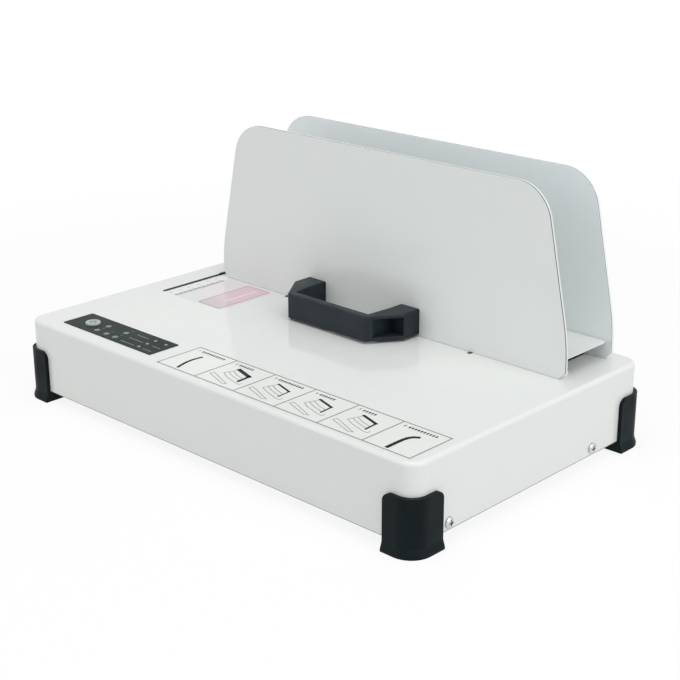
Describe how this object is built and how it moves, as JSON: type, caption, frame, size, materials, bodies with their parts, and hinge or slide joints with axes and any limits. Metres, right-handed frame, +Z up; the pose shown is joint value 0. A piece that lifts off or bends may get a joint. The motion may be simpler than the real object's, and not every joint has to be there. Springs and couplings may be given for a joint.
{
  "type": "thermal binding machine",
  "caption": "Desktop thermal binder: a flat white case with corner feet, two upright plates round a heated well, a spring-return front clamp with a bridge handle, and a small key panel.",
  "frame": {"origin": "on the floor, under the middle of the case", "axes": "+X to the machine's right as seen by its user, +Y to the rear, +Z up"},
  "size_m": [0.4092, 0.2592, 0.2],
  "materials": {
    "white_paint": "gloss powder coat",
    "black_plastic": "fine moulded texture",
    "zinc_steel": "zinc plated",
    "screw_steel": "plated",
    "rod_chrome": "ground",
    "bush_bronze": "sintered",
    "slide_plastic": "moulded",
    "coated_aluminium": "dark non-stick coat",
    "insulation": "pressed fibre board",
    "heating_mat": "silicone rubber",
    "circuit_board": "lacquered",
    "panel_film": "satin film",
    "key_grey": "satin",
    "lamp_red": "tinted",
    "terminal_cream": "moulded",
    "transformer_core": "lacquered laminations"
  },
  "bodies": {
    "base": {"top_cover": "white_paint", "bottom_tray": "zinc_steel", "foot_front_left": "black_plastic", "foot_front_right": "black_plastic", "foot_rear_left": "black_plastic", "foot_rear_right": "black_plastic", "foot_screws": "screw_steel", "case_screws": "screw_steel", "rear_plate": "white_paint", "rear_plate_screws": "screw_steel", "guide_rods": "rod_chrome", "rod_brackets": "zinc_steel", "spring_barrels": "zinc_steel", "barrel_saddles": "slide_plastic", "heater_cradle": "zinc_steel", "heater_insulation": "insulation", "heating_mats": "heating_mat", "heater_plate": "coated_aluminium", "thermostat": "terminal_cream", "panel_overlay": "panel_film", "control_board": "circuit_board", "board_posts": "screw_steel", "key_switch": "black_plastic", "lamps": "lamp_red", "control_parts": "black_plastic", "power_board": "circuit_board", "power_board_posts": "screw_steel", "transformer": "transformer_core", "relay": "black_plastic", "capacitors": "black_plastic", "terminal_block": "terminal_cream", "power_inlet": "black_plastic", "inlet_pins": "screw_steel", "inlet_screws": "screw_steel", "wiring": "black_plastic"},
    "clamp": {"front_plate": "white_paint", "clamp_shelf": "white_paint", "shelf_screws": "screw_steel", "handle": "black_plastic", "handle_screws": "screw_steel", "clamp_blades": "zinc_steel", "slide_blocks": "slide_plastic", "slide_bushes": "bush_bronze", "cross_bar": "zinc_steel", "spring_plungers": "rod_chrome", "thickness_pointer": "black_plastic"},
    "key": {"power_key": "key_grey"}
  },
  "joints": [
    {"name": "clamp_slide", "type": "slide", "parent": "base", "child": "clamp", "axis": [0, -1, 0], "range_m": [0, 0.054], "stiffness_N_per_m": 150, "springref_m": -0.03},
    {"name": "power_key_press", "type": "slide", "parent": "base", "child": "key", "axis": [0, 0, -1], "range_m": [0, 0.001], "stiffness_N_per_m": 400, "springref_m": -0.0005}
  ]
}
